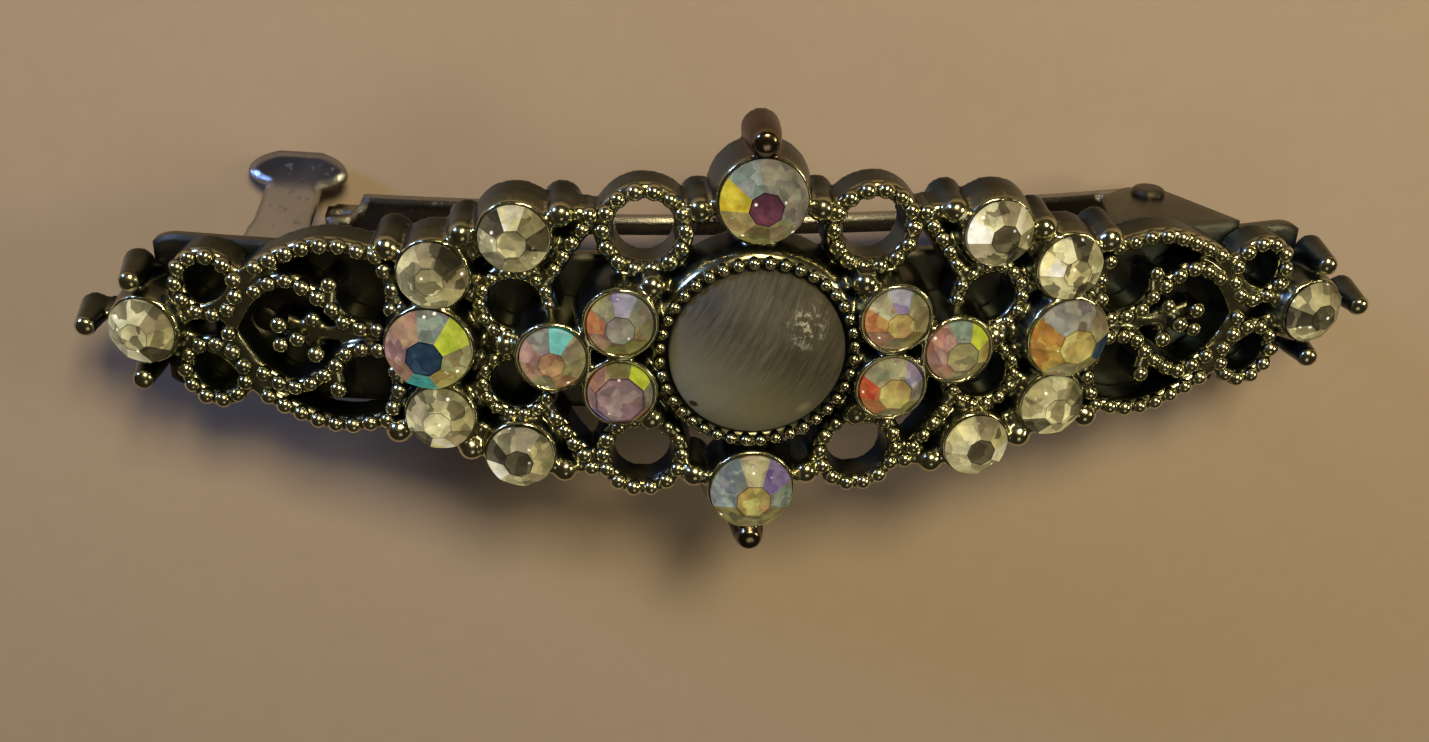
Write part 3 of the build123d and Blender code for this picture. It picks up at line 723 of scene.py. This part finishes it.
WHITE = (0.84, 0.82, 0.6)
CHAMPAGNE = (0.26, 0.23, 0.14)
SMOKE = (0.09, 0.08, 0.05)
GOLD = (0.62, 0.53, 0.2)
CREAM = (0.53, 0.515, 0.31)
STRAW = (0.42, 0.395, 0.22)
ORANGE = (0.72, 0.34, 0.12)
AMBER = (0.62, 0.38, 0.08)
SALMON = (0.56, 0.34, 0.2)
PINK = (0.5, 0.3, 0.25)
MAUVE = (0.38, 0.28, 0.3)
VIOLET = (0.33, 0.24, 0.6)
LILAC = (0.46, 0.45, 0.66)
GREY_TEAL = (0.34, 0.42, 0.37)
LIME = (0.8, 0.98, 0.1)
OLIVE = (0.34, 0.31, 0.12)
NAVY = (0.04, 0.08, 0.16)
YELLOW = (0.85, 0.68, 0.06)
GREY = (0.33, 0.33, 0.29)
PLUM = (0.16, 0.05, 0.1)
CYAN = (0.12, 0.75, 0.8)
RED = (0.75, 0.16, 0.06)
# The AB facet colours are partly the iridescent coating's colour and partly painted reflection, fixed per
# facet.
# table share, turn in degrees, then the crown's facets anticlockwise from +X and the table
AB_LOOKS = {
    "left_large": (0.42, 12, [LIME, GREY_TEAL, SALMON, PINK, SALMON, CYAN, GOLD, CREAM, NAVY]),
    "top": (0.38, 10, [GREY, GREY, GREY_TEAL, YELLOW, GOLD, OLIVE, STRAW, GREY, PLUM]),
    "bottom": (0.42, 20, [VIOLET, STRAW, GREY_TEAL, GREY_TEAL, OLIVE, STRAW, OLIVE, GREY_TEAL, GOLD]),
    "left_cluster_upper": (0.45, 15, [GREY, LILAC, OLIVE, ORANGE, SALMON, OLIVE, OLIVE, STRAW, GREY]),
    "left_cluster_outer": (0.4, 5, [STRAW, CYAN, GREY, PINK, SALMON, STRAW, SALMON, STRAW, SALMON]),
    "left_cluster_lower": (0.74, 25, [LIME, OLIVE, SALMON, PINK, VIOLET, PINK, SALMON, GREY, MAUVE]),
    "right_cluster_upper": (0.42, 20, [STRAW, LILAC, CREAM, ORANGE, SALMON, STRAW, OLIVE, STRAW, GOLD]),
    "right_cluster_outer": (0.5, 22, [LIME, GREY_TEAL, PINK, PINK, SALMON, STRAW, OLIVE, GOLD, STRAW]),
    "right_cluster_lower": (0.52, 18, [LILAC, CREAM, STRAW, RED, ORANGE, STRAW, OLIVE, GREY, GOLD]),
    "right_large": (0.45, 8, [STRAW, GREY, GREY, AMBER, AMBER, STRAW, OLIVE, NAVY, GOLD]),
}
AB_CROWN, CLEAR_CROWN, CLEAR_TABLE = 0.48, 0.45, 0.42
# The spread of the clear stones' facet tones from white to smoke is painted reflection of the foil and
# light.
CLEAR_TONES = (STRAW, CHAMPAGNE, STRAW, CREAM, SMOKE, CREAM, WHITE)
for kind, name, along, across, radius, girdle in stone_sites():
    if kind == "ab":
        table, turn, colours = AB_LOOKS[name]
        crown = AB_CROWN * radius
    else:
        table, turn, crown = CLEAR_TABLE, random.uniform(0, 45), CLEAR_CROWN * radius
        colours = [random.choice(CLEAR_TONES) for k in range(9)]
    stone = faceted_stone(
        f"stone_{kind}_{name}", along, across, radius, girdle, table, math.radians(turn), crown, colours
    )
    stone.data.materials.append(AB_GLASS if kind == "ab" else CLEAR_GLASS)
    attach(stone, "base")
    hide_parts(f"rhinestone_{kind}_{name}")

dome = bmesh.new()
sphere = (CABOCHON_RADIUS**2 + CABOCHON_DOME**2) / (2 * CABOCHON_DOME)
half_angle = math.asin(CABOCHON_RADIUS / sphere)
DOME_STEPS = 24
profile = [(0, CABOCHON_DOME)]
for k in range(1, DOME_STEPS + 1):
    a = half_angle * k / DOME_STEPS
    profile.append((sphere * math.sin(a), CABOCHON_DOME - sphere * (1 - math.cos(a))))
profile += [(CABOCHON_RADIUS, CABOCHON_FOOT), (0, CABOCHON_FOOT)]
lathe(dome, arch_matrix(0, 0), profile, 96)
cabochon = mesh_object("cabochon_dome", dome)
cabochon.data.materials.append(cats_eye())
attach(cabochon, "base")
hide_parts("cabochon")

# ---------------------------------------------------------------- steel parts kept from the CAD
STEEL = {
    "base_plate": SHADED_PLATE_STEEL, "catch_bracket": DARK_STEEL, "catch_rivet": DARK_STEEL,
    "hinge_pin": DARK_STEEL, "clasp_arm": NICKEL, "tension_bar": SPRING,
}
for node, material in STEEL.items():
    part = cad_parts[node]
    part.data.materials.clear()
    part.data.materials.append(material)

# ---------------------------------------------------------------- squeeze tabs
CATCH_ALONG = -34.2
CATCH_HEIGHT = -4.26
SHEET = 0.6
WING_ROOT = 3.9
# (out from the middle, height from the catch's floor) along the wing's bend
WING_FOLD = [
    (WING_ROOT, -0.35), (WING_ROOT, -1.6), (3.95, -2.8), (4.45, -4.0),
    (5.3, -5.7), (6.2, -7.3), (7.2, -8.55), (8.35, -9.75),
]
WING_LOWEST = -9.72
NECK_LEFT, NECK_RIGHT = -2.35, 1.6
PAD_MIDDLE, PAD_HALF_WIDTH, PAD_LEVEL, PAD_LENGTH = -0.3, 3.6, -8.6, 1.25
LEAF_TOP, LEAF_LENGTH, LEAF_LEFT, LEAF_WIDTH = -2.6, 4.3, 2.15, 1.1


def wing_sides(z):
    """X of the wing's two edges at a height: a wide root, a neck and a round thumb pad."""
    root = 3.2 - 0.55 * math.exp(-((z + 3.6) / 0.9) ** 2)
    fade = 1 / (1 + math.exp(-(z + 4.1) / 0.22))
    left = NECK_LEFT + (-root - NECK_LEFT) * fade
    right = NECK_RIGHT + (root - NECK_RIGHT) * fade
    below = z < PAD_LEVEL
    reach = (z - PAD_LEVEL) / (PAD_LENGTH if below else 1.0)
    if abs(reach) < 1:
        pad = PAD_HALF_WIDTH * math.sqrt(1 - reach**2)
        pad_left, pad_right = PAD_MIDDLE - pad, PAD_MIDDLE + pad
        if below:
            return pad_left, pad_right
        left, right = min(left, pad_left), max(right, pad_right)
    return left, right


def shell(bm, place, rows, columns, surface, thickness):
    """Closed bent sheet: surface(row share, column share) gives a point and a normal in mm."""
    faces = []
    for side in (0.5, -0.5):
        grid = []
        for i in range(rows + 1):
            line = []
            for j in range(columns + 1):
                point, normal = surface(i / rows, j / columns)
                line.append(bm.verts.new(place @ ((point + normal * thickness * side) * MM)))
            grid.append(line)
        faces.append(grid)
    for grid in faces:
        for i in range(rows):
            for j in range(columns):
                bm.faces.new((grid[i][j], grid[i + 1][j], grid[i + 1][j + 1], grid[i][j + 1]))
    rim = [(i, 0) for i in range(rows)] + [(rows, j) for j in range(columns)]
    rim += [(i, columns) for i in range(rows, 0, -1)] + [(0, j) for j in range(columns, 0, -1)]
    for (i, j), (k, m) in zip(rim, rim[1:] + rim[:1]):
        bm.faces.new((faces[0][i][j], faces[0][k][m], faces[1][k][m], faces[1][i][j]))


def build_tab(name, body, side):
    place = arch_matrix(CATCH_ALONG, 0, CATCH_HEIGHT)
    fold = smooth_path(WING_FOLD, 0.2)
    count = len(fold) - 1

    def wing(share, across):
        k = min(int(share * count), count - 1)
        spot = fold[k].lerp(fold[k + 1], share * count - k)
        heading = (fold[k + 1] - fold[k]).normalized()
        left, right = wing_sides(max(spot.y, WING_LOWEST))
        x = left + (right - left) * across
        return Vector((x, side * spot.x, spot.y)), Vector((0, side * heading.y, -heading.x))

    def leaf(share, across):
        z = LEAF_TOP - LEAF_LENGTH * share
        barb = 0.1 * math.exp(-((z + 6.3) / 0.25) ** 2)
        spot = Vector((LEAF_LEFT + LEAF_WIDTH * across, side * (WING_ROOT + barb), z))
        return spot, Vector((0, side, 0))

    bm = bmesh.new()
    shell(bm, place, 90, 28, wing, SHEET)
    shell(bm, place, 24, 6, leaf, SHEET)
    tab = mesh_object(name, bm)
    bevel = tab.modifiers.new("edge", "BEVEL")
    bevel.width, bevel.segments, bevel.limit_method = 0.12 * MM, 2, "ANGLE"
    bevel.angle_limit = math.radians(60)
    apply_modifiers(tab)
    tab.data.materials.append(TAB_STEEL)
    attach(tab, body)
    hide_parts("squeeze_" + body)


build_tab("thumb_tab_upper", "tab_upper", 1)
build_tab("thumb_tab_lower", "tab_lower", -1)

# ---------------------------------------------------------------- floor, light and camera
FLOOR_GAP = 0.02 * MM
FLOOR_DARK = (0.545, 0.432, 0.325)
FLOOR_LIGHT = (0.585, 0.466, 0.353)
FILL_COLOUR, FILL_STRENGTH = (0.2, 0.165, 0.12), 0.12
MIDDLE_OF_CLIP = Vector((0, 0, 12)) * MM
LENS = 39.75
EYE = (-13.2468, 46.5823, 94.1923 + CREST)
TILT, ROLL, PAN = 0.4699, 0.0979, 0.0193

ground = bmesh.new()
bmesh.ops.create_grid(ground, x_segments=1, y_segments=1, size=2.0)
floor = mesh_object("floor", ground, False)
floor.location.z = cad_low.z - FLOOR_GAP
pale = Nodes("pale_floor")
mottled = pale.mix(pale.noise(500, 3), FLOOR_DARK, FLOOR_LIGHT)
floor.data.materials.append(pale.set(Base_Color=mottled, Roughness=0.9))


def area_light(name, direction, distance, size, power, colour):
    """Square lamp that faces the middle of the clip."""
    lamp = bpy.data.lights.new(name, "AREA")
    lamp.size, lamp.energy, lamp.color = size, power, colour
    holder = bpy.data.objects.new(name, lamp)
    bpy.context.scene.collection.objects.link(holder)
    aim = Vector(direction).normalized()
    holder.location = aim * distance + MIDDLE_OF_CLIP
    holder.rotation_mode = "QUATERNION"
    holder.rotation_quaternion = aim.to_track_quat("Z", "Y")


area_light("key", (0.13, 0.69, 0.79), 0.42, 0.1, 1.16, (1.0, 0.83, 0.5))
area_light("side", (0.79, 0.17, 0.58), 0.30, 0.06, 0.14, (1.0, 0.9, 0.65))
area_light("cool", (-0.8, 0.6, 0.28), 0.34, 0.06, 0.4, (0.28, 0.44, 1.0))
area_light("front", (0.12, -0.44, 0.88), 0.5, 0.16, 0.06, (1.0, 0.92, 0.72))
world = bpy.data.worlds.new("studio")
bpy.context.scene.world = world
world.use_nodes = True
background = world.node_tree.nodes["Background"]
background.inputs["Color"].default_value = (*FILL_COLOUR, 1)
background.inputs["Strength"].default_value = FILL_STRENGTH
bpy.context.scene.view_settings.view_transform = "Standard"

camera_data = bpy.data.cameras.new("camera")
camera = bpy.data.objects.new("camera", camera_data)
bpy.context.scene.collection.objects.link(camera)
bpy.context.scene.camera = camera
camera_data.lens = LENS
camera_data.clip_start, camera_data.clip_end = 0.005, 10
spin = Matrix.Rotation(PAN, 3, "Z") @ Matrix.Rotation(ROLL, 3, "Y") @ Matrix.Rotation(TILT, 3, "X")
camera.rotation_mode = "QUATERNION"
camera.rotation_quaternion = spin.transposed().to_quaternion()
camera.location = Vector(EYE) * MM
